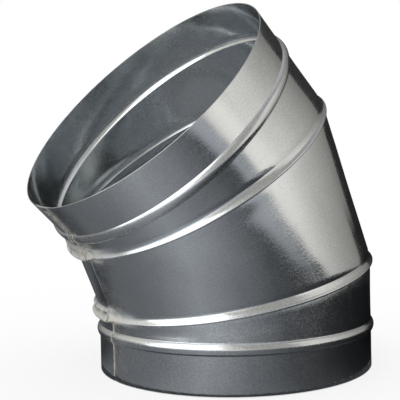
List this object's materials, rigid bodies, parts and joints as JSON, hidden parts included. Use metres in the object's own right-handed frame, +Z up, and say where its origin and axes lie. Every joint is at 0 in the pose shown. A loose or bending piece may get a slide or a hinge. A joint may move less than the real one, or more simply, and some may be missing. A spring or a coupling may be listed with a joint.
{
  "type": "round duct elbow",
  "caption": "Round sheet-steel duct elbow turning 45 degrees, made of gores with folded lock seams and stop beads.",
  "frame": {"origin": "centre of the lower mouth, in the plane of its rim, on which the elbow stands", "axes": "+Z up the lower collar's axis, +X towards the inside of the bend, where the upper mouth faces"},
  "size_m": [0.2513, 0.204, 0.2619],
  "materials": {
    "galvanised_sheet": "zinc-coated sheet steel, smooth, satin grey"
  },
  "bodies": {
    "root": {"lower_gore": "galvanised_sheet", "middle_gore": "galvanised_sheet", "upper_gore": "galvanised_sheet"}
  },
  "joints": []
}
